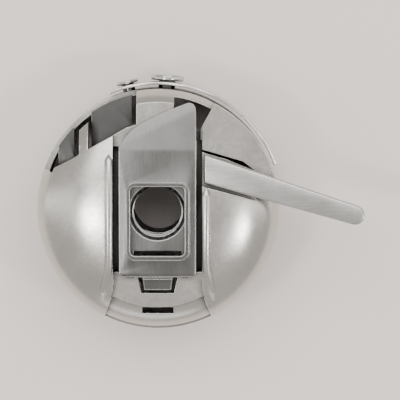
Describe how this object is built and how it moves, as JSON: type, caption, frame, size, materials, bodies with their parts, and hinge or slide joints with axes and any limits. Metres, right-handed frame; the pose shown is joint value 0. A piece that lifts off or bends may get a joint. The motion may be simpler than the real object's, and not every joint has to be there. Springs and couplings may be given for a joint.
{
  "type": "bobbin case",
  "caption": "Steel front-loading bobbin case with a spring-loaded latch lever, a position finger and a thread tension spring.",
  "frame": {"origin": "middle of the whole case's base, in the plane of the open rim", "axes": "+Z out of the closed front that carries the latch, +X towards the position finger's tip, +Y from the lever's hinge to its grip"},
  "size_m": [0.0302, 0.0236, 0.0128],
  "materials": {
    "case_steel": "polished, slightly worn",
    "strip_steel": "satin",
    "lever_steel": "fine lengthwise brushing",
    "dark_steel": "satin, darker",
    "bright_steel": "bright plated"
  },
  "bodies": {
    "case": {"case_body": "case_steel", "centre_post": "bright_steel", "position_finger": "strip_steel", "thread_tension_spring": "strip_steel", "spring_fixing_screw": "bright_steel", "bobbin_brake_disc": "dark_steel", "latch_coil_spring": "bright_steel"},
    "slide": {"latch_slide": "strip_steel"},
    "lever": {"latch_lever": "lever_steel", "lever_hinge_pin": "bright_steel"},
    "tension_screw": {"tension_adjusting_screw": "bright_steel"}
  },
  "joints": [
    {"name": "slide_travel", "type": "slide", "parent": "case", "child": "slide", "axis": [0, -1, 0], "range_m": [0, 0.0012], "stiffness_N_per_m": 100, "springref_m": -0.0006, "deforming": ["latch_coil_spring"]},
    {"name": "lever_swing", "type": "hinge", "parent": "slide", "child": "lever", "pos_m": [-0.0039, -0.00624, 0.01165], "axis": [1, 0, 0], "range_deg": [0, 85]},
    {"name": "tension_screw_turn", "type": "hinge", "parent": "case", "child": "tension_screw", "pos_m": [-0.00306, 0.01133, 0.006], "axis": [0.0698, 0.9976, 0], "range_deg": [-180, 180]}
  ],
  "couplings": [
    {"joint": "lever_swing", "follows": "slide_travel", "rad_per_m": 1236}
  ]
}
